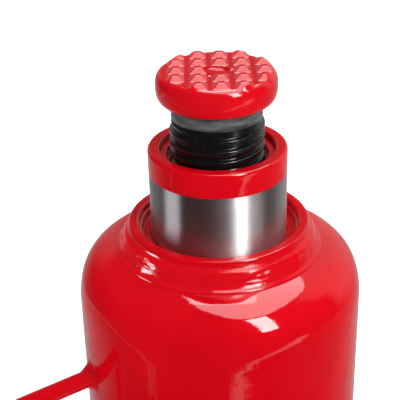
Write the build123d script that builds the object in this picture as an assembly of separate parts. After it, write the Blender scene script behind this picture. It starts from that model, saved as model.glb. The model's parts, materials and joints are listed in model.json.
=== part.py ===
from build123d import *
from math import sin, cos, radians, pi, sqrt, atan2, degrees, hypot
import os

os.makedirs("parts", exist_ok=True)

# Heavy hydraulic bottle jack, 50 tonne class. Millimetres, +Z up.
# Origin: on the ram axis, at the underside of the base.
# The pump stands at the front (-Y), the carry handle is on the left (-X).
# Rest pose: ram raised 36 mm, extension screw turned out 31 mm.

# ---- driving dimensions -------------------------------------------------
collar_top = 262.0          # top rim of the top nut
tank_r = 95.2               # outside of the oil tank
tank_wall = 4.0
base_pad_z = 45.0           # face the tank and cylinder stand on
base_pad_r = 101.5
bore_r = 50.0               # main cylinder bore
cylinder_r = 58.5           # main cylinder outside
cylinder_floor = 40.0
nut_r = 60.0
nut_skirt_z = 225.0         # lowest face of the top nut, stops the piston
nut_seat_z = 240.0          # nut flange lands on the cylinder here
ram_r = 45.0
ram_lift_at_rest = 36.0
ram_bottom = 45.0 + ram_lift_at_rest
ram_top = collar_top + 52.1
ram_bore_r = 30.9           # clears the screw crests
ram_bore_floor = 180.0
ram_recess_r = 37.5
ram_recess_z = ram_top - 9.0
screw_r = 30.5
screw_root_r = 28.2
screw_pitch = 7.0
screw_neck_r = 29.3
saddle_bottom = collar_top + 84.0
saddle_plateau = collar_top + 102.7
saddle_r = 38.5
tooth_pitch = 13.8
tooth_base = 10.9
tooth_top = 3.9
tooth_height = 2.8
tooth_turn = -22.0          # the tooth grid is turned about Z
tooth_shift = 2.3           # the grid is off centre by this
spigot_r = 6.0
pump_y = -142.0             # pump axis
plunger_r = 8.0
pump_r = 20.0
link_pin_y, link_pin_z = -112.0, 55.0
link_len = 90.0
arm_len = 24.0              # link top pin to plunger pin
arm_rest = -10.0            # degrees above horizontal
socket_kick = 22.0          # handle tube is turned up from the arm
socket_bore_r = 14.3
socket_r = 18.5
valve_x = 48.0              # release valve at +x, overload valve at -x
valve_z = 27.0
bar_r = 6.0                 # carry handle bar
bar_top_z = 160.0
bar_x = -158.0
bar_bottom_z = 62.0


def cyl(r, z0, z1, x=0.0, y=0.0):
    return Pos(x, y, (z0 + z1) / 2) * Cylinder(r, z1 - z0)


def ring(r0, r1, z0, z1, x=0.0, y=0.0):
    return cyl(r1, z0, z1, x, y) - cyl(r0, z0 - 1, z1 + 1, x, y)


def ycyl(r, y0, y1, x, z):
    """cylinder along Y"""
    return Pos(x, (y0 + y1) / 2, z) * Rot(90, 0, 0) * Cylinder(r, abs(y1 - y0))


def yring(r0, r1, y0, y1, x, z):
    return ycyl(r1, y0, y1, x, z) - ycyl(r0, y0 - 1, y1 + 1, x, z)


def xcyl(r, x0, x1, y, z):
    """cylinder along X"""
    return Pos((x0 + x1) / 2, y, z) * Rot(0, 90, 0) * Cylinder(r, abs(x1 - x0))


def pipe(p, q, r):
    """straight drilling from p to q"""
    p, q = Vector(*p), Vector(*q)
    return Plane(origin=(p + q) * 0.5, z_dir=q - p) * Cylinder(r, (q - p).length)


def box(x0, x1, y0, y1, z0, z1):
    return Pos((x0 + x1) / 2, (y0 + y1) / 2, (z0 + z1) / 2) * Box(x1 - x0, y1 - y0, z1 - z0)


def lathe(points, x=0.0, y=0.0):
    """closed (r, z) outline turned about Z"""
    face = Plane.XZ * make_face(Polyline(*points, close=True))
    return Pos(x, y, 0) * revolve(face, Axis.Z)


def ylathe(points, x, z):
    """closed (r, y) outline turned about the line parallel to Y at x, z"""
    face = make_face(Polyline(*[(r, yy) for r, yy in points], close=True))
    return Pos(x, 0, z) * revolve(face, Axis.Y)


nodes = {}


def out(name, shape, *more):
    solids = list(shape.solids())
    for m in more:
        solids += list(m.solids())
    nodes[name] = solids[0] if len(solids) == 1 else Compound(children=solids)
    nodes[name].label = name


# ---- base casting -------------------------------------------------------
def block(y, w, d, r, h, taper, edge):
    """tapered casting block with a soft top edge"""
    b = extrude(Pos(0, y) * RectangleRounded(w, d, r), h, taper=taper)
    return fillet(b.edges().group_by(Axis.Z)[-1], edge)


foot = block(-22, 214, 256, 34, 13, 3, 3.5)
nose = block(-140, 92, 74, 22, 13, 3, 3.5)
pad = lathe([(0, 0), (base_pad_r + 2.5, 0), (base_pad_r, base_pad_z), (0, base_pad_z)])
pump_boss = block(-122, 68, 96, 14, base_pad_z, 2, 3)
valve_boss = block(-107, 140, 86, 12, 42, 2, 4)
base = foot + nose + pad + pump_boss + valve_boss
lug = box(-11.8, 11.8, -119.2, -101.8, 30, link_pin_z) + xcyl(8.7, -11.8, 11.8, link_pin_y + 1.5, link_pin_z)
lug = lug & box(-11.8, 11.8, -119.2, -101.8, 30, link_pin_z + 12)
base = base + lug
base -= cyl(cylinder_r, cylinder_floor, 60)
base -= xcyl(5.02, -20, 20, link_pin_y, link_pin_z)
# pump seat, inlet valve and suction passage
base -= cyl(15.0, 16, 60, 0, pump_y)
base -= cyl(4.3, 5, 17, 0, pump_y)
base -= cyl(5.0, 6, 46, -20, -76)
base -= pipe((-20, -76, 8.6), (0, pump_y, 7.4), 2.2)
# outlet valve under the cylinder floor
base -= cyl(8.0, 28, 41, 0, -28)
base -= cyl(5.3, 14, 29, 0, -28)
base -= cyl(2.5, 9, 15, 0, -28)
base -= pipe((0, -26.5, 11.4), (0, pump_y + 3, 12.2), 2.2)
# release valve: pressure side through its seat, return to the tank
base -= ycyl(8.0, -160, -134, valve_x, valve_z)
base -= ycyl(5.3, -135, -108.2, valve_x, valve_z)
base -= pipe((valve_x, -109.5, valve_z), (22, -30, 30), 2.4)
base -= cyl(2.4, 28, 41, 22, -30)
base -= pipe((valve_x, -114.5, valve_z), (45, -66, 47), 2.2)
# overload valve, the same on the other side
base -= ycyl(8.0, -160, -135, -valve_x, valve_z)
base -= ycyl(6.0, -136, -122, -valve_x, valve_z)
base -= ycyl(4.6, -123, -105, -valve_x, valve_z)
base -= pipe((-valve_x, -106.5, valve_z), (-22, -30, 30), 2.0)
base -= cyl(2.0, 28, 41, -22, -30)
base -= pipe((-valve_x, -117, valve_z), (-45, -66, 47), 2.2)
out("base", base)

# ---- cylinder and tank --------------------------------------------------
out("cylinder_base_gasket", ring(bore_r + 0.5, cylinder_r, cylinder_floor, 41.5))
out("cylinder_tube", lathe([(bore_r, 41.5), (cylinder_r, 41.5), (cylinder_r, nut_seat_z - 1.5),
                            (cylinder_r - 1.5, nut_seat_z), (bore_r, nut_seat_z)]))

shoulder = [(72.8, -19.95), (76.4, -20.8), (80.0, -22.3), (83.2, -24.2), (86.0, -26.5), (88.4, -29.2),
            (90.5, -32.3), (92.2, -35.8), (93.5, -39.7), (94.4, -44.1), (95.0, -49.4), (tank_r, -57.0)]
outer = [(r, collar_top + z) for r, z in shoulder]
inner = []
for i, (r, z) in enumerate(outer):
    p, q = outer[max(i - 1, 0)], outer[min(i + 1, len(outer) - 1)]
    tr, tz = q[0] - p[0], q[1] - p[1]
    n = hypot(tr, tz)
    inner.append((r + tz / n * tank_wall, z - tr / n * tank_wall))
inner[-1] = (tank_r - tank_wall, outer[-1][1])
with BuildLine(Plane.XZ) as profile:
    Spline(*outer, tangents=[(1, -0.24), (0, -1)])
    Line(outer[-1], (tank_r, base_pad_z))
    Line((tank_r, base_pad_z), (tank_r - tank_wall, base_pad_z))
    Line((tank_r - tank_wall, base_pad_z), inner[-1])
    Spline(*inner[::-1], tangents=[(0, 1), (-1, 0.24)])
    Polyline(inner[0], (66.0, 239.0), (nut_r, 239.0), (nut_r, 256.4), (61.8, 256.4), (63.1, 255.1),
             (65.8, 247.9), (66.7, 246.0), (68.1, 244.2), (69.8, 243.0), (71.3, 242.4), outer[0])
tank = revolve(make_face(profile.line), Axis.Z)
# the oil level bush, on the far right of the shoulder
plug_az = 58.0
plug_z = 196.0
radial = Rot(0, 0, plug_az) * Rot(0, 90, 0)


def radial_cyl(r, d0, d1, z):
    return Rot(0, 0, plug_az) * Pos((d0 + d1) / 2, 0, z) * Rot(0, 90, 0) * Cylinder(r, d1 - d0)


tank -= radial_cyl(6.6, 80, 110, plug_z)
out("tank_shell", tank)
plug = radial_cyl(6.55, 89.0, 97.4, plug_z) + radial_cyl(9.5, 97.2, 99.4, plug_z) + radial_cyl(8.2, 99.4, 100.6, plug_z)
plug -= radial_cyl(3.5, 88, 95, plug_z)
out("filler_plug", plug)
out("tank_base_weld", lathe([(tank_r, base_pad_z), (base_pad_r - 1.3, base_pad_z), (base_pad_r - 1.9, base_pad_z + 2.2),
                             (tank_r + 2.2, base_pad_z + 4.6), (tank_r, base_pad_z + 5.2)]))

# ---- top nut with its seals --------------------------------------------
t = collar_top
nut = lathe([(ram_r + 0.05, nut_skirt_z), (bore_r - 1.0, nut_skirt_z), (bore_r, nut_skirt_z + 1.0), (bore_r, nut_seat_z),
             (nut_r, nut_seat_z), (nut_r, 245.6), (57.2, 245.6), (57.2, 249.0), (nut_r, 249.0), (nut_r, t - 2.2),
             (nut_r - 0.5, t - 0.9), (nut_r - 1.6, t), (54.3, t), (53.4, t - 0.8), (52.6, t - 3.9), (51.6, t - 4.3),
             (51.2, t - 5.0), (51.0, t - 8.6), (45.9, t - 8.6), (45.9, 251.0), (48.6, 251.0), (48.6, 246.0),
             (ram_r + 0.05, 246.0), (ram_r + 0.05, 238.0), (49.0, 238.0), (49.0, 231.0), (ram_r + 0.05, 231.0)])
out("top_nut", nut)
out("ram_wiper", lathe([(ram_r + 0.06, 249.0), (45.9, 251.0), (48.6, 251.0), (48.6, 246.0), (46.4, 246.0), (46.4, 248.0)]))
out("ram_rod_seal", lathe([(ram_r + 0.06, 231.5), (49.0, 231.0), (49.0, 238.0), (46.0, 238.0), (ram_r + 0.06, 236.5)]))
out("tank_neck_oring", Pos(0, 0, 247.3) * Torus(58.6, 1.38))

# ---- carry handle -------------------------------------------------------
slope = 0.18
path = FilletPolyline((-93.0, 0, bar_top_z + 0.5), (bar_x, 0, bar_top_z - (-95.2 - bar_x) * slope), (bar_x, 0, bar_bottom_z - 7.0),
                      (-93.0, 0, bar_bottom_z), radius=17)
bar_dir = Vector(bar_x + 93.0, 0, (bar_top_z - (-95.2 - bar_x) * slope) - bar_top_z - 0.5)
bar = sweep(Plane(origin=(-93.0, 0, bar_top_z + 0.5), z_dir=bar_dir) * Circle(bar_r), path)
tank_solid = cyl(tank_r, 20, 240)
bar = bar - tank_solid
out("carry_handle", bar)


def bead(z, dx, dz, grow):
    """fillet weld around one end of the bar, against the tank"""
    n = hypot(dx, dz)
    face = make_face(Polyline((bar_r - 1.5, -3.0), (bar_r + grow, -3.0), (bar_r + grow, 1.2), (bar_r + grow * 0.62, 2.9),
                              (bar_r + 0.4, grow + 1.4), (bar_r - 1.5, grow + 1.4), close=True))
    b = revolve(Plane.XZ * face, Axis.Z)
    place = Plane(origin=(-tank_r, 0, z), z_dir=(dx / n, 0, dz / n))
    return place * b


welds = bead(bar_top_z, -1, -slope, 4.2) + bead(bar_bottom_z - 0.23, -1, -7.0 / 65.0, 4.4)
thick_bar = sweep(Plane(origin=(-93.0, 0, bar_top_z + 0.5), z_dir=bar_dir) * Circle(bar_r), path)
welds = welds - tank_solid - thick_bar
out("carry_handle_welds", welds)

# ---- ram body -----------------------------------------------------------
b = ram_bottom
ram = lathe([(0, b + 3), (40.0, b + 3), (40.0, b + 9), (bore_r - 0.07, b + 9), (bore_r - 0.07, b + 15), (47.0, b + 15),
             (47.0, b + 22), (bore_r - 0.07, b + 22), (bore_r - 0.07, b + 24.5), (bore_r - 1.0, b + 25), (ram_r, b + 25),
             (ram_r, ram_top - 1.6), (ram_r - 0.5, ram_top - 0.5), (ram_r - 1.6, ram_top), (ram_recess_r + 0.8, ram_top),
             (ram_recess_r, ram_top - 0.8), (ram_recess_r, ram_recess_z), (ram_bore_r, ram_recess_z),
             (ram_bore_r, ram_bore_floor), (0, ram_bore_floor)])
ram -= cyl(8.0, b, b + 28)
out("ram", ram)
out("piston_cup_seal", lathe([(40.0, b + 3), (46.0, b + 3), (46.5, b + 5.5), (bore_r - 0.9, b + 3), (bore_r - 0.05, b + 3.6),
                              (bore_r - 0.05, b + 9), (40.0, b + 9)]))
out("piston_guide_ring", ring(47.0, bore_r - 0.04, b + 15, b + 22))
out("piston_retainer", lathe([(8.2, b + 0.6), (45.4, b + 0.6), (45.4, b + 3), (8.2, b + 3)]))
rs = cyl(8.0, b + 0.6, b + 28) + cyl(12.0, b - 3.4, b + 0.6)
rs -= Pos(0, 0, b - 3.4) * extrude(RegularPolygon(5.0, 6), 4)
out("piston_retainer_screw", rs)
out("screw_stop_ring", lathe([(32.4, ram_recess_z), (ram_recess_r, ram_recess_z), (ram_recess_r, ram_top - 4.6),
                              (ram_recess_r - 0.7, ram_top - 4.1), (33.6, ram_top - 4.1), (32.4, ram_top - 5.2)]))

# ---- extension screw and saddle ----------------------------------------
s0 = saddle_bottom
neck_z = s0 - 11.1
screw_end = s0 - 131.5
pts = [(0, screw_end), (screw_root_r - 1.5, screw_end), (screw_root_r, screw_end + 1.5)]
z = screw_end + 3.0
while z + screw_pitch < neck_z - 1.0:
    pts += [(screw_root_r, z), (screw_r - 0.5, z + 1.6), (screw_r, z + 2.4), (screw_r, z + 3.9), (screw_r - 0.5, z + 4.7),
            (screw_root_r, z + 6.3)]
    z += screw_pitch
pts += [(screw_root_r, neck_z - 0.6), (screw_neck_r, neck_z), (screw_neck_r, s0 - 1.0), (screw_neck_r - 0.8, s0 - 0.25),
        (spigot_r, s0 - 0.25), (spigot_r, saddle_plateau - 2.2), (spigot_r + 1.6, saddle_plateau - 1.2),
        (spigot_r + 1.6, saddle_plateau - 0.5), (0, saddle_plateau - 0.3)]
out("extension_screw", lathe(pts))

side = [(34.4, s0), (35.9, s0 + 0.9), (37.3, s0 + 2.8), (38.1, s0 + 5.2), (saddle_r, s0 + 8.3), (saddle_r, s0 + 11.2),
        (38.3, s0 + 13.7), (37.7, s0 + 15.9), (36.7, s0 + 17.5), (35.0, saddle_plateau)]
with BuildLine(Plane.XZ) as sp:
    Spline(*side)
    Polyline(side[-1], (spigot_r + 2.0, saddle_plateau), (spigot_r + 2.0, saddle_plateau - 1.4), (spigot_r + 0.3, saddle_plateau - 2.6),
             (spigot_r + 0.06, s0 + 0.6), (spigot_r + 0.6, s0), side[0])
disc = revolve(make_face(sp.line), Axis.Z)
h = tooth_height
tooth = loft([Pos(0, 0, saddle_plateau - 0.5) * Rectangle(tooth_base, tooth_base),
              Pos(0, 0, saddle_plateau + h) * Rectangle(tooth_top, tooth_top)])
dome = lathe([(0, s0 + 6), (saddle_r + 0.2, s0 + 6), (saddle_r + 0.0, s0 + 12.0), (38.0, s0 + 16.0), (36.6, s0 + 19.2),
              (34.6, saddle_plateau + h), (0, saddle_plateau + h)])
teeth = []
for i in range(-2, 3):
    for j in range(-2, 3):
        if i == 0 and j == 0:
            continue
        px, py = i * tooth_pitch + tooth_shift, j * tooth_pitch
        if hypot(px, py) > 38.0:
            continue
        teeth.append(Rot(0, 0, tooth_turn) * Pos(px, py, 0) * tooth)
saddle = disc
for tth in teeth:
    piece = tth & dome
    if piece is None:
        continue
    saddle = saddle + piece
saddle -= cyl(spigot_r + 2.0, saddle_plateau - 1.4, saddle_plateau + 6)
out("saddle", saddle)

# ---- pump ---------------------------------------------------------------
out("pump_seat_gasket", ring(9.5, 15.0, 16.0, 17.5, 0, pump_y))
arm = radians(arm_rest)
top_pin_y = pump_y + arm_len * cos(arm)
lean = -(top_pin_y - link_pin_y)          # outward lean of the links
top_pin_z = link_pin_z + sqrt(link_len ** 2 - lean ** 2)
pin_z = top_pin_z + arm_len * sin(arm)    # plunger pin at rest
pump_top = pin_z - 17.5
hexa = Pos(0, pump_y, 45) * extrude(RegularPolygon(23.0, 6), 13)
body = cyl(15.0, 17.5, 45, 0, pump_y) + (hexa & cyl(22.2, 45, 58, 0, pump_y)) + cyl(pump_r - 1.0, 58, pump_top, 0, pump_y)
body -= cyl(plunger_r + 0.05, 10, pump_top + 1, 0, pump_y)
body -= cyl(11.0, pump_top - 12, pump_top - 6, 0, pump_y)
body -= cyl(9.6, pump_top - 4, pump_top + 1, 0, pump_y)
body = body - cyl(9.5, 17, 22, 0, pump_y)
out("pump_cylinder", body)
out("pump_rod_seal", ring(plunger_r + 0.06, 11.0, pump_top - 12, pump_top - 6, 0, pump_y))
out("pump_wiper", lathe([(plunger_r + 0.08, pump_top - 3), (9.6, pump_top - 4), (9.6, pump_top), (9.0, pump_top + 0.8),
                         (plunger_r + 0.08, pump_top + 0.8)], 0, pump_y))

eye = box(-7.0, 7.0, pump_y - 9, pump_y + 9, pin_z - 15.5, pin_z + 9.5) & (
    cyl(9.0, pin_z - 16, pin_z, 0, pump_y) + xcyl(9.0, -7, 7, pump_y, pin_z))
plunger = cyl(plunger_r, 24.0, pin_z - 14.0, 0, pump_y) + eye
plunger -= xcyl(4.0, -9, 9, pump_y, pin_z)
plunger = plunger - ring(plunger_r - 1.0, plunger_r + 2, 30, 33, 0, pump_y)
out("pump_plunger", plunger)
out("plunger_guide_ring", ring(plunger_r - 1.0, plunger_r + 0.02, 30, 33, 0, pump_y))
pin = xcyl(4.0, -14.4, 14.4, pump_y, pin_z) + xcyl(6.0, -14.4, -12.3, pump_y, pin_z)
pin -= xcyl(5.0, 12.4, 13.4, pump_y, pin_z) - xcyl(3.2, 12.2, 13.6, pump_y, pin_z)
out("plunger_pin", pin)
out("plunger_pin_clip", xcyl(6.6, 12.4, 13.4, pump_y, pin_z) - xcyl(3.2, 12.2, 13.6, pump_y, pin_z)
    - box(12, 14, pump_y - 2.4, pump_y + 2.4, pin_z, pin_z + 9))

# ---- link plates --------------------------------------------------------
link_in, link_out = 12.3, 16.8
tilt = degrees(atan2(lean, top_pin_z - link_pin_z))
mid_y, mid_z = (link_pin_y + top_pin_y) / 2, (link_pin_z + top_pin_z) / 2


def link_plate(x0, x1):
    w = x1 - x0
    web = Pos((x0 + x1) / 2, mid_y, mid_z) * Rot(tilt, 0, 0) * Box(w, 17.0, link_len)
    p = web + xcyl(8.5, x0, x1, link_pin_y, link_pin_z) + xcyl(8.5, x0, x1, top_pin_y, top_pin_z)
    return p - xcyl(5.0, x0 - 1, x1 + 1, link_pin_y, link_pin_z) - xcyl(5.0, x0 - 1, x1 + 1, top_pin_y, top_pin_z)


out("link_plates", link_plate(link_in, link_out), link_plate(-link_out, -link_in))


def cross_pin(y, z, half, r, head):
    p = xcyl(r, -half, half, y, z) + xcyl(head, -half - 2.2, -half + 0.0, y, z)
    return p - (xcyl(r + 1, half - 2.4, half - 1.4, y, z) - xcyl(r - 0.8, half - 2.6, half - 1.2, y, z))


def clip(y, z, half, r):
    return (xcyl(r + 3, half - 2.4, half - 1.4, y, z) - xcyl(r - 0.8, half - 2.6, half - 1.2, y, z)
            - box(half - 3, half - 1, y - 2.6, y + 2.6, z, z + 12))


# base pin turns with the link plates, in the bore of the base lug
out("link_base_pin", cross_pin(link_pin_y, link_pin_z, 19.4, 5.0, 7.2))
out("link_base_clip", clip(link_pin_y, link_pin_z, 19.4, 5.0))
out("link_top_pin", cross_pin(top_pin_y, top_pin_z, 19.4, 5.0, 7.2))
out("link_top_clip", clip(top_pin_y, top_pin_z, 19.4, 5.0))

# ---- handle socket ------------------------------------------------------
# made along +X from the top pin, then turned and placed: s = distance along the arm
slot_mid, slot_half = 23.64, 1.0
cheek = box(-10.5, 46, -9.5, 9.5, -11.8, 11.8)
cheek = cheek & (box(0, 60, -9.5, 9.5, -12, 12) + Pos(0, 0, 0) * Cylinder(9.5, 24))
tube_at = Pos(44, 0, 0) * Rot(0, 0, socket_kick)
tube = tube_at * Pos(44, 0, 0) * Rot(0, 90, 0) * Cylinder(socket_r, 92)
sock = cheek + tube
sock -= box(-12, 37.0, -20, 20, -7.4, 7.4)                        # fork gap for the plunger eye
sock -= tube_at * Pos(54.5, 0, 0) * Rot(0, 90, 0) * Cylinder(socket_bore_r, 73)
sock -= Cylinder(5.02, 40)
sock -= extrude(Pos(slot_mid, 0, -20) * SlotCenterToCenter(2 * slot_half, 8.7), 40)
# small cross hole for the lever's retaining pin
sock -= tube_at * Pos(68, 0, 0) * Rot(90, 0, 0) * Cylinder(3.2, 60)
# local +X -> outward (-Y), local +Y -> up, local +Z -> x
place = Plane(origin=(0, top_pin_y, top_pin_z), x_dir=(0, -cos(arm), sin(arm)), z_dir=(1, 0, 0))
chk = place.y_dir
sock = place * sock if chk.Z > 0 else Plane(origin=(0, top_pin_y, top_pin_z), x_dir=(0, -cos(arm), sin(arm)), z_dir=(-1, 0, 0)) * sock
out("handle_socket", sock)
tube_ang = radians(arm_rest + socket_kick)
foot_pt = (top_pin_y - 44 * cos(arm), top_pin_z + 44 * sin(arm))
mouth = (foot_pt[0] - 90 * cos(tube_ang), foot_pt[1] + 90 * sin(tube_ang))
print("pins", "top", top_pin_y, top_pin_z, "plunger", pin_z, "mouth", mouth, "tube axis", (0, -cos(tube_ang), sin(tube_ang)))
print("pump top", pump_top, "lean deg", tilt, "screw", screw_end, z, neck_z)

# ---- valves -------------------------------------------------------------
out("inlet_valve_ball", Pos(0, pump_y, 9.4) * Sphere(4.0))
out("outlet_valve_ball", Pos(0, -28, 19.05) * Sphere(5.0))
cage = cyl(8.0, 28, 38.0, 0, -28) - cyl(2.5, 27, 41, 0, -28) - box(-7, 7, -29.2, -26.8, 36, 41)
out("outlet_valve_screw", cage)
out("suction_strainer", ring(3.2, 5.0, 38, 44.5, -20, -76) + cyl(3.4, 44.0, 44.5, -20, -76))
out("release_valve_ball", Pos(valve_x, -113.3, valve_z) * Sphere(5.0))
stem = ycyl(5.0, -168, -118.6, valve_x, valve_z) + ycyl(2.2, -119, -118.35, valve_x, valve_z) + ycyl(9.0, -181, -164, valve_x, valve_z)
stem -= ycyl(8, -133, -127, valve_x, valve_z) - ycyl(4.2, -134, -126, valve_x, valve_z)
stem -= box(valve_x + 5.0, valve_x + 20, -182, -170, 0, 60)
stem -= box(valve_x - 20, valve_x - 5.0, -182, -170, 0, 60)
out("release_valve_screw", stem)
gland = ycyl(8.0, -151.5, -134, valve_x, valve_z) + Pos(valve_x, -151.0, valve_z) * Rot(90, 0, 0) * extrude(RegularPolygon(12.0, 6), 7)
gland -= ycyl(5.06, -165, -130, valve_x, valve_z)
gland -= ycyl(6.6, -143, -139.5, valve_x, valve_z)
out("release_valve_gland", gland)
out("release_valve_oring", yring(5.04, 6.6, -143, -139.5, valve_x, valve_z))
out("overload_valve_ball", Pos(-valve_x, -108.6, valve_z) * Sphere(3.6))
out("overload_valve_seat_screw", ycyl(6.0, -134, -124, -valve_x, valve_z) - box(-valve_x - 7, -valve_x + 7, -135, -131.5, valve_z - 0.8, valve_z + 0.8))
cover = ycyl(8.0, -151.5, -135, -valve_x, valve_z) + ycyl(11.5, -155.5, -151.0, -valve_x, valve_z)
cover -= Pos(-valve_x, -152.0, valve_z) * Rot(90, 0, 0) * extrude(RegularPolygon(4.6, 6), 5)
out("overload_valve_plug", cover)
sh = Helix(2.3, 10.5, 3.5)
spring = sweep(Plane(origin=sh @ 0, z_dir=sh % 0) * Circle(0.5), sh)
out("overload_valve_spring", Pos(-valve_x, -112.9, valve_z) * Rot(90, 0, 0) * spring)

for name, shape in nodes.items():
    export_step(shape, f"parts/{name}.step")
print(len(nodes), "nodes")
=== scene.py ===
import bpy, bmesh, json, math
import numpy as np
from mathutils import Matrix, Vector
from mathutils import noise as mnoise


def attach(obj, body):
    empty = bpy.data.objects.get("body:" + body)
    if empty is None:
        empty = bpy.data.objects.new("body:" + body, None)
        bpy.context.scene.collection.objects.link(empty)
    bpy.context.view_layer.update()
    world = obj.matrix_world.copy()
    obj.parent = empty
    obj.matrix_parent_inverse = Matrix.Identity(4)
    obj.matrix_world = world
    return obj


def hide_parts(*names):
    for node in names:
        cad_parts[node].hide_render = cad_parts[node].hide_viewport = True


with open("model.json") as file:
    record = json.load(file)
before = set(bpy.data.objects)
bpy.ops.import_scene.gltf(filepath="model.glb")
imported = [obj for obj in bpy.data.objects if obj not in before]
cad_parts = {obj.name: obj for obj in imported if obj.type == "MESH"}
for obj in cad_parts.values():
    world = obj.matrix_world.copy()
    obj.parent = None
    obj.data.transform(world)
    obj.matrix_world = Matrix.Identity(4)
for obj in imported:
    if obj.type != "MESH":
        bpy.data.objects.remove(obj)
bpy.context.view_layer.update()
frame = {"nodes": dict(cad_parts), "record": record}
N = frame["nodes"]
MM = 0.001

# ------------------------------------------------------------------ helpers
mnoise.seed_set(7)


def new_mesh(name, verts, faces, mats=(), face_mat=None, smooth=40.0, uv=None):
    me = bpy.data.meshes.new(name)
    me.from_pydata([tuple(v) for v in verts], [], [tuple(f) for f in faces])
    me.validate()
    ob = bpy.data.objects.new(name, me)
    bpy.context.scene.collection.objects.link(ob)
    for m in mats:
        me.materials.append(m)
    if face_mat is not None:
        me.polygons.foreach_set("material_index", np.asarray(face_mat, dtype=np.int32))
    bm = bmesh.new()
    bm.from_mesh(me)
    bmesh.ops.recalc_face_normals(bm, faces=bm.faces)
    bm.to_mesh(me)
    bm.free()
    me.shade_smooth()
    if smooth is not None:
        me.set_sharp_from_angle(angle=math.radians(smooth))
    return ob


def fillet(points, radii, steps=5):
    """closed polygon in (r, z) with each corner rounded by its radius"""
    out, n = [], len(points)
    for i in range(n):
        p = np.array(points[i], float)
        a = np.array(points[i - 1], float)
        b = np.array(points[(i + 1) % n], float)
        r = radii[i] if hasattr(radii, "__len__") else radii
        u, v = a - p, b - p
        lu, lv = np.linalg.norm(u), np.linalg.norm(v)
        if r <= 0 or lu < 1e-9 or lv < 1e-9:
            out.append(tuple(p)); continue
        u, v = u / lu, v / lv
        c = float(np.clip(u @ v, -1, 1))
        ang = math.acos(c)
        if ang > math.radians(176) or ang < 0.02:
            out.append(tuple(p)); continue
        d = min(r / math.tan(ang / 2), 0.48 * lu, 0.48 * lv)
        rr = d * math.tan(ang / 2)
        centre = p + (u + v) / np.linalg.norm(u + v) * (rr / math.sin(ang / 2))
        s, e = p + u * d - centre, p + v * d - centre
        a0, a1 = math.atan2(s[1], s[0]), math.atan2(e[1], e[0])
        da = (a1 - a0 + math.pi) % (2 * math.pi) - math.pi
        k = max(2, int(steps))
        for j in range(k + 1):
            t = a0 + da * j / k
            out.append((centre[0] + rr * math.cos(t), centre[1] + rr * math.sin(t)))
    return out


def refine(points, step):
    """adds points along the long sides of a closed outline, mm"""
    out, n = [], len(points)
    for i in range(n):
        a, b = np.array(points[i]), np.array(points[(i + 1) % n])
        k = max(1, int(math.ceil(np.linalg.norm(b - a) / step)))
        for j in range(k):
            out.append(tuple(a + (b - a) * j / k))
    return out


def lathe(name, outline, mats, segs=256, mat_of=None, smooth=35.0, bend=None, frame_of=None):
    """closed (r, z) outline in mm turned about Z into one closed mesh; r 0 points become a single pole"""
    n = len(outline)
    verts, idx = [], []
    for k, (r, z) in enumerate(outline):
        if r < 1e-6:
            idx.append([len(verts)] * segs)
            verts.append((0.0, 0.0, z))
        else:
            row = []
            for s in range(segs):
                a = 2 * math.pi * s / segs
                rr, zz = (r, z) if bend is None else bend(r, z, a)
                row.append(len(verts))
                verts.append((rr * math.cos(a), rr * math.sin(a), zz))
            idx.append(row)
    faces, fm = [], []
    for k in range(n):
        a, b = idx[k], idx[(k + 1) % n]
        ra, rb = outline[k][0], outline[(k + 1) % n][0]
        if ra < 1e-6 and rb < 1e-6:
            continue
        m = 0 if mat_of is None else mat_of((ra + rb) / 2, (outline[k][1] + outline[(k + 1) % n][1]) / 2)
        for s in range(segs):
            t = (s + 1) % segs
            f = [a[s], a[t], b[t], b[s]]
            g = []
            for v in f:
                if v not in g:
                    g.append(v)
            if len(g) >= 3:
                faces.append(g); fm.append(m)
    V = np.array(verts) * MM
    if frame_of is not None:
        V = V @ np.array(frame_of.to_3x3()).T + np.array(frame_of.translation)
    return new_mesh(name, V, faces, mats, fm, smooth)


def put(ob, body, node=None):
    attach(ob, body)
    if node:
        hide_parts(*([node] if isinstance(node, str) else node))
    return ob


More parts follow.
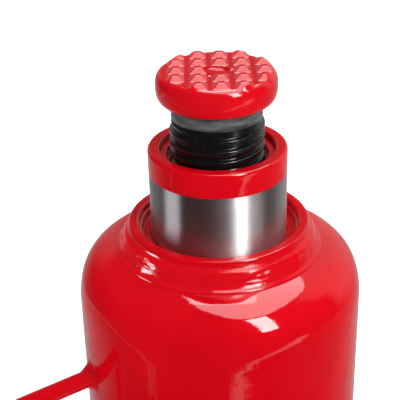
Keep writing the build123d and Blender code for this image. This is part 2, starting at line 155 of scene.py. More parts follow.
# ------------------------------------------------------------------ node helpers
class G:
    def __init__(self, name):
        self.m = bpy.data.materials.new(name)
        self.m.use_nodes = True
        self.t = self.m.node_tree
        self.p = self.t.nodes["Principled BSDF"]
        self.co = self.t.nodes.new("ShaderNodeTexCoord").outputs["Object"]

    def n(self, kind, **kw):
        node = self.t.nodes.new(kind)
        for k, v in kw.items():
            setattr(node, k, v)
        return node

    def link(self, a, b):
        self.t.links.new(a, b)

    def mapping(self, scale=(1, 1, 1), co=None, rot=(0, 0, 0)):
        m = self.n("ShaderNodeMapping")
        m.inputs["Scale"].default_value = scale
        m.inputs["Rotation"].default_value = rot
        self.link(co or self.co, m.inputs["Vector"])
        return m.outputs["Vector"]

    def noise(self, scale, detail=3.0, rough=0.5, co=None, dist=0.0):
        x = self.n("ShaderNodeTexNoise")
        x.inputs["Scale"].default_value = scale
        x.inputs["Detail"].default_value = detail
        x.inputs["Roughness"].default_value = rough
        x.inputs["Distortion"].default_value = dist
        self.link(co or self.co, x.inputs["Vector"])
        return x.outputs["Fac"]

    def ramp(self, fac, stops, interp="LINEAR"):
        r = self.n("ShaderNodeValToRGB")
        r.color_ramp.interpolation = interp
        e = r.color_ramp.elements
        while len(e) > 1:
            e.remove(e[-1])
        e[0].position = stops[0][0]
        e[0].color = (*stops[0][1], 1) if hasattr(stops[0][1], "__len__") else (stops[0][1],) * 3 + (1,)
        for pos, c in stops[1:]:
            q = e.new(pos)
            q.color = (*c, 1) if hasattr(c, "__len__") else (c, c, c, 1)
        self.link(fac, r.inputs["Fac"])
        return r.outputs["Color"]

    def mix(self, fac, a, b, kind="MIX"):
        x = self.n("ShaderNodeMix", data_type="RGBA", blend_type=kind)
        for sock, val in ((x.inputs[0], fac), (x.inputs[6], a), (x.inputs[7], b)):
            if isinstance(val, (int, float)):
                sock.default_value = val if sock is x.inputs[0] else (val, val, val, 1)
            elif isinstance(val, tuple):
                sock.default_value = (*val, 1)
            else:
                self.link(val, sock)
        return x.outputs[2]

    def math(self, op, a, b=None, clamp=False):
        x = self.n("ShaderNodeMath", operation=op, use_clamp=clamp)
        for i, val in enumerate((a, b)):
            if val is None:
                continue
            if isinstance(val, (int, float)):
                x.inputs[i].default_value = val
            else:
                self.link(val, x.inputs[i])
        return x.outputs[0]

    def bump(self, height, distance, strength=1.0, normal=None):
        b = self.n("ShaderNodeBump")
        b.inputs["Distance"].default_value = distance
        b.inputs["Strength"].default_value = strength
        self.link(height, b.inputs["Height"])
        if normal is not None:
            self.link(normal, b.inputs["Normal"])
        return b.outputs["Normal"]

    def set(self, **kw):
        names = {"metal": "Metallic", "rough": "Roughness", "ior": "IOR", "coat": "Coat Weight", "coat_rough": "Coat Roughness",
                 "coat_ior": "Coat IOR", "spec": "Specular IOR Level", "aniso": "Anisotropic", "aniso_rot": "Anisotropic Rotation",
                 "color": "Base Color", "normal": "Normal", "tangent": "Tangent", "sheen": "Sheen Weight", "coat_normal": "Coat Normal"}
        for k, v in kw.items():
            s = self.p.inputs[names[k]]
            if isinstance(v, bpy.types.NodeSocket):
                self.link(v, s)
            elif hasattr(v, "__len__"):
                s.default_value = (*v, 1) if len(v) == 3 and len(s.default_value) == 4 else v
            else:
                s.default_value = v
        return self.m


def enamel(name, base=(0.365, 0.0007, 0.0040), peel=1.0, wave=1.0, rough=0.055, cast=0.0):
    g = G(name)
    broad = g.noise(18, 3, 0.55)
    fine = g.noise(220, 2, 0.5)
    dark = tuple(c * 0.90 for c in base)
    light = (base[0] * 1.05, base[1] * 1.6, base[2] * 1.25)
    col = g.mix(g.ramp(broad, [(0.35, 0.0), (0.65, 1.0)]), dark, light)
    specks = g.ramp(g.noise(1500, 1, 0.5), [(0.70, 0.0), (0.78, 1.0)])
    col = g.mix(g.math("MULTIPLY", specks, 0.10), col, tuple(c * 0.55 for c in base))
    rgh = g.math("ADD", g.math("MULTIPLY", fine, 0.03), rough - 0.015)
    n1 = g.bump(g.noise(26, 2, 0.4), 0.00055 * wave)
    n2 = g.bump(g.noise(300, 2.5, 0.55), 0.000032 * peel, normal=n1)
    if cast > 0:
        n2 = g.bump(g.noise(520, 4, 0.65), 0.00022 * cast, normal=n2)
    return g.set(color=col, rough=rgh, ior=1.55, normal=n2, coat=0.0)


def ground_steel(name, base=(0.60, 0.595, 0.605), rough=0.33):
    g = G(name)
    lines = g.noise(1.0, 4, 0.7, co=g.mapping((6, 6, 5200)))
    lines2 = g.noise(1.0, 2, 0.5, co=g.mapping((25, 25, 1500)))
    col = g.mix(lines, tuple(c * 0.80 for c in base), tuple(min(1, c * 1.12) for c in base))
    stain = g.ramp(g.noise(55, 3, 0.6), [(0.55, 0.0), (0.75, 1.0)])
    col = g.mix(g.math("MULTIPLY", stain, 0.10), col, (0.45, 0.42, 0.40))
    rgh = g.math("ADD", g.math("MULTIPLY", lines2, 0.08), rough - 0.04)
    nrm = g.bump(lines, 0.000004)
    tan = g.n("ShaderNodeTangent", direction_type="RADIAL", axis="Z")
    return g.set(color=col, rough=rgh, metal=1.0, aniso=0.94, aniso_rot=0.25, tangent=tan.outputs[0], normal=nrm)


def oxide(name, base=(0.0040, 0.0045, 0.0048), rough=0.20, oily=1.0, streak=0.0):
    g = G(name)
    f = g.noise(90, 4, 0.6)
    col = g.mix(f, tuple(c * 0.55 for c in base), tuple(c * 1.7 for c in base))
    if streak > 0:
        st = g.ramp(g.noise(1.0, 4, 0.62, co=g.mapping((34, 34, 260))), [(0.38, 0.0), (0.62, 1.0)])
        col = g.mix(st, tuple(c * (1 - 0.62 * streak) for c in base), tuple(c * (1 + 0.75 * streak) for c in base))
    dust = g.ramp(g.noise(700, 3, 0.6), [(0.66, 0.0), (0.74, 1.0)])
    col = g.mix(g.math("MULTIPLY", dust, 0.20), col, tuple(c * 3.0 + 0.012 for c in base))
    rgh = g.ramp(g.noise(160, 3, 0.6), [(0.35, rough - 0.12), (0.65, rough + 0.16)])
    scr = g.noise(1.0, 3, 0.6, co=g.mapping((40, 40, 1800)))
    nrm = g.bump(g.noise(420, 4, 0.65), 0.00005, normal=g.bump(scr, 0.00003))
    return g.set(color=col, rough=rgh, metal=0.30, normal=nrm, coat=0.55 * oily, coat_rough=0.06)


def plain_metal(name, base, rough=0.30, turn=0.0, metal=1.0, grime=0.25, bump=0.00003):
    g = G(name)
    f = g.noise(130, 4, 0.6)
    col = g.mix(f, tuple(c * 0.78 for c in base), tuple(min(1, c * 1.1) for c in base))
    dirt = g.ramp(g.noise(60, 4, 0.65), [(0.52, 0.0), (0.72, 1.0)])
    col = g.mix(g.math("MULTIPLY", dirt, grime), col, tuple(c * 0.35 for c in base))
    rgh = g.math("ADD", g.math("MULTIPLY", g.noise(240, 3, 0.6), 0.22), rough - 0.10)
    nrm = g.bump(g.noise(900, 3, 0.6), bump)
    return g.set(color=col, rough=rgh, metal=metal, normal=nrm)


def rubber(name, base=(0.018, 0.018, 0.019), rough=0.55):
    g = G(name)
    col = g.mix(g.noise(200, 3, 0.6), tuple(c * 0.7 for c in base), tuple(c * 1.5 for c in base))
    rgh = g.math("ADD", g.math("MULTIPLY", g.noise(300, 2, 0.5), 0.15), rough - 0.08)
    return g.set(color=col, rough=rgh, normal=g.bump(g.noise(1200, 2, 0.5), 0.00003))


RED = enamel("red_enamel")
RED_CAST = enamel("red_enamel_on_casting", peel=1.6, wave=1.0, rough=0.14, cast=1.0)
RED_WELD = enamel("red_enamel_on_weld", peel=2.5, wave=1.2, rough=0.10, cast=0.35)
RED_THIN = enamel("red_enamel_thin", base=(0.40, 0.0008, 0.0040), peel=0.8, wave=0.4, rough=0.16)
RED_FORGED = enamel("red_enamel_on_forging", peel=1.8, wave=0.6, rough=0.095, cast=0.20)
STEEL = ground_steel("ground_steel")
OXIDE = oxide("black_oxide_oiled")
NECK = oxide("grey_phosphate", base=(0.062, 0.066, 0.067), rough=0.36, oily=0.5, streak=1.0)
ZINC = plain_metal("zinc_plate", (0.62, 0.62, 0.60), rough=0.34)
MACH = plain_metal("machined_steel", (0.50, 0.51, 0.53), rough=0.30, grime=0.15)
COPPER = plain_metal("soft_copper", (0.72, 0.36, 0.22), rough=0.34)
BALL = plain_metal("ball_steel", (0.70, 0.71, 0.73), rough=0.16, grime=0.05, bump=0.000005)
RUB = rubber("seal_rubber")
PLASTIC = rubber("guide_plastic", base=(0.42, 0.34, 0.20), rough=0.45)
slot_mat = {"red_enamel": RED, "ground_steel": STEEL, "black_oxide": OXIDE, "zinc_plate": ZINC, "steel_internal": MACH,
            "seal_rubber": RUB, "guide_plastic": PLASTIC, "soft_copper": COPPER, "weld_painted": RED_WELD, "ball_steel": BALL}
node_slot = {s["node"]: s["material_slot"] for s in frame["record"]["subparts"]}
for name, ob in N.items():
    ob.data.materials.clear()
    ob.data.materials.append(slot_mat[node_slot[name]])
N["base"].data.materials[0] = RED_CAST

# ------------------------------------------------------------------ sizes, mm
H = 262.0
R_TANK, WALL = 95.2, 4.0
shoulder = [(69.6, -18.55), (71.0, -18.92), (72.8, -19.42), (76.4, -20.62), (80.0, -22.2), (83.2, -24.2), (86.0, -26.5), (88.4, -29.2),
            (90.5, -32.3), (92.2, -35.8), (93.5, -39.7), (94.4, -44.1), (95.0, -49.4), (95.2, -57.0)]


def smooth_curve(pts, step):
    """even points on a uniform Catmull-Rom curve through pts"""
    P = [np.array(p, float) for p in pts]
    P = [2 * P[0] - P[1]] + P + [2 * P[-1] - P[-2]]
    out = []
    for i in range(1, len(P) - 2):
        p0, p1, p2, p3 = P[i - 1:i + 3]
        k = max(2, int(np.linalg.norm(p2 - p1) / step))
        for j in range(k):
            t = j / k
            out.append(tuple(0.5 * ((2 * p1) + (p2 - p0) * t + (2 * p0 - 5 * p1 + 4 * p2 - p3) * t * t + (3 * p1 - p0 - 3 * p2 + p3) * t ** 3)))
    out.append(tuple(P[-2]))
    return out


def refine_open(points, step):
    out = []
    for a_, b_ in zip(points[:-1], points[1:]):
        a_, b_ = np.array(a_), np.array(b_)
        k = max(1, int(math.ceil(np.linalg.norm(b_ - a_) / step)))
        out += [tuple(a_ + (b_ - a_) * j / k) for j in range(k)]
    return out + [tuple(points[-1])]


# ------------------------------------------------------------------ oil tank, with the filler bush hole
SEG = 288
outer = smooth_curve([(r, H + z) for r, z in shoulder], 0.9)
prof = [(60.02, H - 23.0), (60.02, H - 6.4), (61.6, H - 6.4), (62.5, H - 7.6), (64.6, H - 15.0), (66.2, H - 17.3), (67.8, H - 18.15)] + outer
wall_z = list(np.linspace(205.0, 45.0, 81))
prof += [(R_TANK, z) for z in wall_z[1:]]
inner = []
for i, (r, z) in enumerate(outer):
    a, b = outer[max(i - 1, 0)], outer[min(i + 1, len(outer) - 1)]
    tr, tz = b[0] - a[0], b[1] - a[1]
    n = math.hypot(tr, tz)
    inner.append((r + tz / n * WALL, z - tr / n * WALL))
inner = [p for p in inner if p[0] > 66.3]
prof_in = [(R_TANK - WALL, z) for z in wall_z[::-1]] + [p for p in inner[::-1] if p[1] > 205.5] + [(66.0, H - 23.0)]
outline = prof + prof_in


def wob(a, z, k=1.0):
    """slight unevenness of drawn sheet, mm"""
    v = Vector((math.cos(a) * 1.6, math.sin(a) * 1.6, z * 0.022))
    return k * 0.16 * mnoise.noise(v) + k * 0.05 * mnoise.noise(v * 3.1)


def tank_bend(r, z, a):
    if r < 66.5 and z > 200:
        return r, z
    f = min(1.0, max(0.0, (H - 18.0 - z) / 14.0))
    return r + wob(a, z) * f, z


HOLE_AZ, HOLE_Z, HOLE_R = math.radians(58.0), 196.0, 6.6
tank = lathe("tank", outline, [RED], segs=SEG, bend=tank_bend, smooth=38)


def round_hole(ob, az, hz, hr, R_out, R_in, box=11.0):
    """replaces a square patch of a lathe wall by a ring of quads round a drilled hole, through both skins"""
    bm = bmesh.new(); bm.from_mesh(ob.data)
    ux, uy = math.cos(az), math.sin(az)
    T = (-uy, ux)
    def local(v):
        x, y, z = v.co.x / MM, v.co.y / MM, v.co.z / MM
        return (x * T[0] + y * T[1], z - hz, x * ux + y * uy)
    loops = {}
    for tag, R in (("o", R_out), ("i", R_in)):
        faces = []
        for f in bm.faces:
            c = [local(v) for v in f.verts]
            if all(abs(p[0]) < box and abs(p[1]) < box and p[2] > 50 and abs(math.hypot(p[0], p[2]) - R) < 1.2 for p in c):
                faces.append(f)
        boundary = [e for f in faces for e in f.edges if sum(1 for g in e.link_faces if g in set(faces)) == 1]
        bmesh.ops.delete(bm, geom=faces, context="FACES")
        verts = {v for e in boundary if e.is_valid for v in e.verts}
        order = sorted(verts, key=lambda v: math.atan2(local(v)[1], local(v)[0]))
        rings = [order]
        K = 6
        for k in range(1, K + 1):
            t = k / K
            ring = []
            for v in order:
                x, y, _ = local(v)
                a = math.atan2(y, x)
                d = math.hypot(x, y) * (1 - t) + hr * t
                px, pz = d * math.cos(a), d * math.sin(a)
                dep = math.sqrt(R * R - px * px)
                ring.append(bm.verts.new(((T[0] * px + ux * dep) * MM, (T[1] * px + uy * dep) * MM, (hz + pz) * MM)))
            rings.append(ring)
            for i in range(len(order)):
                j = (i + 1) % len(order)
                bm.faces.new((rings[k - 1][i], rings[k - 1][j], rings[k][j], rings[k][i]))
        loops[tag] = rings[-1]
    a, b = loops["o"], loops["i"]
    if len(a) == len(b):
        for i in range(len(a)):
            j = (i + 1) % len(a)
            bm.faces.new((a[i], a[j], b[j], b[i]))
    else:
        bmesh.ops.bridge_loops(bm, edges=[e for e in bm.edges if len(e.link_faces) == 1])
    bmesh.ops.recalc_face_normals(bm, faces=bm.faces)
    open_edges = sum(1 for e in bm.edges if len(e.link_faces) != 2)
    bm.to_mesh(ob.data); bm.free()
    ob.data.shade_smooth()
    ob.data.set_sharp_from_angle(angle=math.radians(38))
    print("hole open edges", open_edges, "loop", len(a), len(b))


round_hole(tank, HOLE_AZ, HOLE_Z, HOLE_R, R_TANK, R_TANK - WALL)
put(tank, "frame", "tank_shell")


def neck_bend(r, z, a):
    # thick paint over the turned neck: runs and ripples
    if z < H - 17.5 or z > H - 4.4 or r < 60.5 or (r < 65.2 and z < H - 12.9):
        return r, z
    k = math.sin(math.pi * min(1.0, max(0.0, (H - 4.3 - z) / 13.4))) ** 0.7
    ca, sa = math.cos(a), math.sin(a)
    w = 0.42 * mnoise.noise(Vector((ca * 6, sa * 6, z * 0.20))) + 0.22 * mnoise.noise(Vector((ca * 14 + 3, sa * 14, z * 0.42)))
    ph = 2.2 * mnoise.noise(Vector((ca * 2.6, sa * 2.6, 7.0)))
    w += 0.10 * math.sin((H - z) * 1.95 + ph) * (0.6 + 0.8 * mnoise.noise(Vector((ca * 4, sa * 4, 2.0 + z * 0.1))))
    return r + k * w, z + 0.35 * k * w


neck_out = fillet([(60.06, H - 3.1), (60.7, H - 4.6), (62.6, H - 6.2), (63.9, H - 9.0), (65.1, H - 12.2), (65.9, H - 14.4), (66.9, H - 15.9), (68.3, H - 16.95), (68.8, H - 17.7)],
                  [0.0, 1.2, 1.2, 2.5, 2.0, 1.5, 1.2, 0.40, 0.0], 4)
neck_out = [(60.04, H - 7.0)] + refine_open(neck_out, 0.45) + [(68.8, H - 19.6), (67.6, H - 20.4), (66.0, H - 19.0), (63.5, H - 13.0), (61.6, H - 7.6)]
neck_ring = lathe("tank_neck", neck_out, [RED_WELD], segs=SEG, bend=neck_bend, smooth=55)
put(neck_ring, "frame", None)

# ------------------------------------------------------------------ top nut
nut_pts = [(45.05, 225.0), (49.0, 225.0), (50.0, 226.0), (50.0, 240.0), (60.0, 240.0), (60.0, H - 5.0), (60.1, H - 2.0), (59.3, H), (54.3, H),
           (53.2, H - 1.0), (52.6, H - 3.9), (51.3, H - 4.4), (51.0, H - 5.2), (50.9, H - 8.6), (45.9, H - 8.6), (45.05, H - 9.4)]
nut_rad = [0, 0, 0, 0, 0, 0, 1.0, 1.3, 1.2, 0.7, 0.5, 0.5, 0.4, 1.2, 0.5, 0]
nut = lathe("top_nut_ring", fillet(nut_pts, nut_rad, 5), [RED], segs=256)
put(nut, "frame", "top_nut")

# ------------------------------------------------------------------ ram
RT, RB = H + 52.1, 81.0
PAINT = H + 36.0
ram_pts = [(0, RB + 3), (40, RB + 3), (40, RB + 9), (49.93, RB + 9), (49.93, RB + 15), (47, RB + 15), (47, RB + 22), (49.93, RB + 22), (49.9, RB + 25),
           (45.0, RB + 25), (45.0, RT), (37.5, RT), (37.5, RT - 9.0), (30.9, RT - 9.0), (30.9, 180.0), (0, 180.0)]
ram_rad = [0, 0.3, 0.3, 0.6, 0, 0, 0, 0, 0.8, 0, 2.0, 1.2, 0, 0.3, 0, 0]
ram = lathe("ram_tube", fillet(ram_pts, ram_rad, 6), [STEEL], segs=256)
# the paint on the ram's rim is its own skin, keyed into the steel
skin = [(44.5, PAINT), (44.98, PAINT - 0.05), (45.14, PAINT + 0.12), (45.14, RT + 0.08), (37.38, RT + 0.08), (37.38, RT - 8.9), (31.2, RT - 8.9), (31.2, RT - 9.4), (38.4, RT - 9.4),
        (38.4, RT - 1.6), (44.0, RT - 1.6)]


def skin_bend(r, z, a):
    if abs(z - PAINT) < 0.4 and r > 44.9:
        return r, z + 0.22 * mnoise.noise(Vector((math.cos(a) * 5, math.sin(a) * 5, 1.0)))
    if r > 45.1:
        return r + 0.05 * mnoise.noise(Vector((math.cos(a) * 8, math.sin(a) * 8, z * 0.2))), z
    return r, z


ram_skin = lathe("ram_rim_paint", refine(fillet(skin, [0, 0, 0.05, 1.9, 1.1, 0.3, 0, 0, 0, 0.8, 0.6], 7), 1.5), [RED], segs=256, bend=skin_bend)
put(ram_skin, "ram", None)
put(ram, "ram", "ram")

stop = lathe("stop_ring", fillet([(32.4, RT - 9), (37.42, RT - 9), (37.42, RT - 4.1), (36.2, RT - 4.1), (33.4, RT - 4.2), (32.4, RT - 5.4)],
                                 [0, 0, 0.8, 0.6, 0.8, 0.5], 4), [RED_THIN], segs=200)
put(stop, "ram", "screw_stop_ring")

# ------------------------------------------------------------------ extension screw, real helical thread
S0 = H + 84.0
NECK_Z = S0 - 11.1
S_END = S0 - 131.5
PITCH, RC, RR = 7.0, 30.5, 28.1


def thread_r(z, a):
    u = ((z - S_END) / PITCH - a / (2 * math.pi)) % 1.0
    # crest 0.36..0.70, flanks either side
    def st(x):
        x = min(1.0, max(0.0, x)); return x * x * (3 - 2 * x)
    up = st((u - 0.22) / 0.15)
    dn = st((0.80 - u) / 0.15)
    h = min(up, dn)
    fade = st((NECK_Z - 1.2 - z) / 3.2) * st((z - S_END - 1.0) / 5.0)
    nick = 0.05 * mnoise.noise(Vector((math.cos(a) * 9, math.sin(a) * 9, z * 0.35)))
    return RR + (RC - RR) * h * fade + nick * h * 0.8


def screw_bend(r, z, a):
    if r > 27.9 and r < 28.3 and S_END + 1.6 < z < NECK_Z - 0.2:
        return thread_r(z, a), z
    return r, z


zs = np.arange(S_END + 1.7, NECK_Z - 0.3, 0.26)
sc = [(0, S_END), (26.6, S_END), (28.1, S_END + 1.5)] + [(RR, z) for z in zs] + [(28.1, NECK_Z - 0.1), (28.6, NECK_Z + 0.35), (29.2, NECK_Z + 0.9),
      (29.3, NECK_Z + 1.6), (29.3, S0 - 1.3), (29.1, S0 - 0.6), (28.6, S0 - 0.25), (6.0, S0 - 0.25), (6.0, H + 100.3), (6.4, H + 100.7)]
for t in np.linspace(0, 1, 9):
    a = t * math.pi / 2
    sc.append((7.3 * math.cos(a), H + 101.2 + 0.9 * math.sin(a)))
sc[-1] = (0, sc[-1][1])
screw = lathe("lifting_screw", sc, [OXIDE, NECK, RED], segs=200, bend=screw_bend, smooth=60,
              mat_of=lambda r, z: 2 if z > H + 99 else (1 if z > NECK_Z + 0.2 else 0))
put(screw, "screw", "extension_screw")

# ------------------------------------------------------------------ saddle
PL = H + 102.7
TP, TB, TT, TH = 13.8, 10.9, 3.9, 2.8
TURN = math.radians(-22.0)
SHIFT = 2.3
g_n = 421
g_x = np.linspace(-42, 42, g_n)
GX, GY = np.meshgrid(g_x, g_x, indexing="ij")     # coordinates along the tooth grid
hm = np.zeros_like(GX)
for i in range(-3, 4):
    for j in range(-3, 4):
        if (i, j) in ((0, 0), (-2, -2)):
            continue
        px, py = i * TP + SHIFT, j * TP
        if math.hypot(px, py) > 38.0:
            continue
        d = np.maximum(np.abs(GX - px), np.abs(GY - py))
        hm = np.maximum(hm, np.clip((TB / 2 - d) / (TB / 2 - TT / 2), 0, 1) * TH)
# shallow dimple and a few forging marks in place of the middle tooth
dd = np.hypot(GX - SHIFT * 0, GY)
hm += np.where((dd < 9.5) & (hm < 0.02), -0.45 * np.clip((9.5 - dd) / 1.6, 0, 1), 0)
for mx_, my_, mr_, mh_ in ((-9.4, -1.6, 1.6, 0.9), (-4.6, -9.3, 1.3, 0.7), (9.6, 1.2, 1.5, 0.8), (3.4, 9.6, 1.2, 0.7)):
    hm = np.maximum(hm, np.where(hm < 0.3, mh_ * np.clip(1 - np.hypot(GX - mx_, GY - my_) / mr_, 0, 1) ** 0.6, 0))


def blur(a, sig):
    k = int(3 * sig) + 1
    x = np.arange(-k, k + 1)
    w = np.exp(-x * x / (2 * sig * sig)); w /= w.sum()
    a = np.apply_along_axis(lambda v: np.convolve(v, w, mode="same"), 0, a)
    return np.apply_along_axis(lambda v: np.convolve(v, w, mode="same"), 1, a)


hm = blur(hm, 0.30 / (84 / (g_n - 1)))
rng = np.random.default_rng(5)
hm += blur(rng.normal(0, 1, hm.shape), 6) * 0.55          # uneven forged faces under the paint


def tooth_h(x, y):
    u = x * math.cos(TURN) + y * math.sin(TURN)
    v = -x * math.sin(TURN) + y * math.cos(TURN)
    fu = (u + 42) / 84 * (g_n - 1); fv = (v + 42) / 84 * (g_n - 1)
    iu = np.clip(int(fu), 0, g_n - 2); iv = np.clip(int(fv), 0, g_n - 2)
    a, b = fu - iu, fv - iv
    return (hm[iu, iv] * (1 - a) * (1 - b) + hm[iu + 1, iv] * a * (1 - b) + hm[iu, iv + 1] * (1 - a) * b + hm[iu + 1, iv + 1] * a * b)


side = smooth_curve([(34.4, S0), (35.9, S0 + 0.9), (37.3, S0 + 2.8), (38.1, S0 + 5.2), (38.5, S0 + 8.3), (38.5, S0 + 11.2), (38.3, S0 + 13.7),
                     (37.7, S0 + 15.9), (36.7, S0 + 17.5), (35.4, S0 + 18.4), (34.2, S0 + 18.7)], 0.4)
dome = [(0, TH + 0.2), (31.0, TH + 0.2), (33.4, TH - 0.3), (35.0, TH - 1.2), (36.3, TH - 3.0), (37.2, -1.2)]
dr_, dz_ = np.array([p[0] for p in dome]), np.array([p[1] for p in dome])
under = [(6.06, PL - 1.4), (6.06, S0 + 0.6), (6.6, S0), (33.6, S0)]
top_r = list(np.arange(33.9, 8.3, -0.30)) + [8.15]
sad_out = under[::1] + side + [(r, PL) for r in top_r] + [(8.0, PL - 0.9)]


def sad_bend(r, z, a):
    if z > S0 + 16.0 and r > 8.1:
        x, y = r * math.cos(a), r * math.sin(a)
        base = PL if r < 34.1 else z
        lim = PL + float(np.interp(r, dr_, dz_))
        h = tooth_h(x, y)
        zz = base + max(0.0, h) if h > 0 else base + h
        zz = min(zz, max(lim, base))
        return r, zz
    return r, z


saddle = lathe("saddle_head", sad_out, [RED_FORGED], segs=512, bend=sad_bend, smooth=55)
put(saddle, "saddle", "saddle")

# ------------------------------------------------------------------ carry handle
BAR = 6.0
A = np.array([-94.0, 0, 160.0 + 0.3]); B = np.array([-158.0, 0, 160.0 - 62.8 * 0.18]); C = np.array([-158.0, 0, 55.0]); D = np.array([-94.0, 0, 61.9])


def round_path(pts, radius, step=1.2):
    out = [np.array(pts[0], float)]
    for i in range(1, len(pts) - 1):
        p, a, b = pts[i], pts[i - 1], pts[i + 1]
        u, v = (a - p) / np.linalg.norm(a - p), (b - p) / np.linalg.norm(b - p)
        ang = math.acos(float(u @ v))
        d = radius / math.tan(ang / 2)
        bis = (u + v) / np.linalg.norm(u + v)
        c = p + bis * (radius / math.sin(ang / 2))
        s, e = p + u * d - c, p + v * d - c
        turn = math.pi - ang
        k = max(6, int(radius * turn / step))
        for j in range(k + 1):
            t = j / k
            w = (math.sin((1 - t) * turn) * s + math.sin(t * turn) * e) / math.sin(turn)
            out.append(c + w)
    out.append(np.array(pts[-1], float))
    full = [out[0]]
    for q in out[1:]:
        L = np.linalg.norm(q - full[-1])
        k = max(1, int(L / 3.0))
        p0 = full[-1]
        for j in range(1, k + 1):
            full.append(p0 + (q - p0) * j / k)
    return full


def tube(name, path, radius, mats, segs=40, side=(0, 1, 0), wobble=0.0):
    verts, faces = [], []
    S = np.array(side, float)
    n = len(path)
    for i, p in enumerate(path):
        t = path[min(i + 1, n - 1)] - path[max(i - 1, 0)]
        t = t / np.linalg.norm(t)
        u = S - t * (S @ t); u /= np.linalg.norm(u)
        v = np.cross(t, u)
        for s in range(segs):
            a = 2 * math.pi * s / segs
            r = radius + wobble * mnoise.noise(Vector((math.cos(a) * 0.8, math.sin(a) * 0.8, i * 0.06)))
            verts.append(p + (u * math.cos(a) + v * math.sin(a)) * r)
    for i in range(n - 1):
        for s in range(segs):
            t_ = (s + 1) % segs
            faces.append((i * segs + s, i * segs + t_, (i + 1) * segs + t_, (i + 1) * segs + s))
    faces.append(tuple(range(segs))[::-1])
    faces.append(tuple((n - 1) * segs + s for s in range(segs)))
    return new_mesh(name, np.array(verts) * MM, faces, mats, smooth=50)


bar = tube("carry_bar", round_path([A, B, C, D], 17.0), BAR, [RED], wobble=0.10)
put(bar, "frame", "carry_handle")


def weld_bead(name, centre, direction, seed, grow=6.4):
    """uneven painted fillet weld, flaring from the bar onto the tank"""
    d = np.array(direction, float); d /= np.linalg.norm(d)
    u = np.array([0, 1.0, 0]); u -= d * (u @ d); u /= np.linalg.norm(u)
    v = np.cross(d, u)
    SEGS, K = 128, 16
    verts, faces = [], []
    for s in range(SEGS):
        a = 2 * math.pi * s / SEGS
        rad = u * math.cos(a) + v * math.sin(a)
        ca, sa = math.cos(a), math.sin(a)
        ripple = math.sin(a * 10 + 1.6 * math.sin(a * 2 + seed))
        w = grow + 0.9 * mnoise.noise(Vector((ca * 1.4, sa * 1.4, seed))) + 0.16 * ripple
        hgt = grow * 0.98 + 1.1 * mnoise.noise(Vector((ca * 1.7 + 7, sa * 1.7, seed))) + 0.22 * ripple
        ring = []
        for k in range(K + 1):
            th = (k / K) * math.pi / 2
            cr, ch = w * (1 - math.sin(th)), hgt * (1 - math.cos(th))       # hollow fillet
            t = k / K
            lr, lh = w * (1 - t), hgt * t                                    # straight fillet
            m = 0.72
            bumpy = 0.42 * math.sin(math.pi * t) * mnoise.noise(Vector((ca * 3.4, sa * 3.4, seed + t * 2.2)))
            rr, hh = m * cr + (1 - m) * lr + bumpy, m * ch + (1 - m) * lh + bumpy
            q = centre + rad * (BAR + rr)
            x0 = -math.sqrt(R_TANK ** 2 - q[1] ** 2)                         # on the tank
            blend = max(0.0, 1.0 - hh / hgt)
            q = q + d * hh
            q[0] = q[0] * (1 - blend) + (x0 - hh) * blend
            ring.append(q)
        foot_in = ring[0].copy(); foot_in[0] += 0.9
        bar_in = ring[-1] - rad * 0.7
        root = centre + rad * (BAR - 0.7)
        root[0] = -math.sqrt(R_TANK ** 2 - root[1] ** 2) + 0.9
        verts += [foot_in] + ring + [bar_in, root]
    M = K + 4
    for s in range(SEGS):
        t_ = (s + 1) % SEGS
        for k in range(M):
            l = (k + 1) % M
            faces.append((s * M + k, t_ * M + k, t_ * M + l, s * M + l))
    return new_mesh(name, np.array(verts) * MM, faces, [RED_WELD], smooth=70)


w1 = weld_bead("carry_weld_upper", np.array([-95.2, 0, 160.2]), (-1, 0, -0.18), 1.7)
w2 = weld_bead("carry_weld_lower", np.array([-95.2, 0, 61.77]), (-1, 0, -0.108), 5.1, 4.6)
put(w1, "frame", "carry_handle_welds")
put(w2, "frame", None)

# ------------------------------------------------------------------ weld at the tank's foot
PADR, PADZ = 101.5, 45.0


def foot_bend(r, z, a):
    if z < PADZ + 0.05:
        return r, z
    k = 0.28 * math.sin(a * 150 + 2.0 * mnoise.noise(Vector((math.cos(a) * 5, math.sin(a) * 5, 0)))) + 0.5 * mnoise.noise(Vector((math.cos(a) * 6, math.sin(a) * 6, 3.0)))
    return r + (k if r > R_TANK + 0.3 else 0), z + k * 0.8


fo = [(R_TANK - 0.5, PADZ), (PADR - 1.5, PADZ), (PADR - 2.0, PADZ + 1.5), (PADR - 3.0, PADZ + 3.0), (R_TANK + 1.6, PADZ + 4.1), (R_TANK - 0.5, PADZ + 4.9)]
fw = lathe("tank_foot_weld", fillet(fo, [0, 0.3, 0.8, 1.2, 1.0, 0], 4), [RED_WELD], segs=1200, bend=foot_bend, smooth=60)
put(fw, "frame", "tank_base_weld")

# ------------------------------------------------------------------ the other pieces keep their imported mesh, with edges over 32 degrees marked sharp
for name, ob in N.items():
    if name in ("tank_shell", "top_nut", "ram", "screw_stop_ring", "extension_screw", "saddle", "carry_handle", "carry_handle_welds", "tank_base_weld"):
        continue
    ob.data.set_sharp_from_angle(angle=math.radians(32))
    if name.startswith(("handle_", "link_", "plunger_", "pump_")):
        ob.visible_glossy = False          # the gloss of the tank shows the studio only

# ------------------------------------------------------------------ floor, camera and studio
floor = bpy.data.materials.new("studio_floor")
floor.use_nodes = True
ft = floor.node_tree
fp = ft.nodes["Principled BSDF"]
fp.inputs["Base Color"].default_value = (0.80, 0.80, 0.80, 1)
fp.inputs["Roughness"].default_value = 0.9
fp.inputs["Specular IOR Level"].default_value = 0.0
fp.inputs["Emission Color"].default_value = (1, 1, 1, 1)
fp.inputs["Emission Strength"].default_value = 0.30


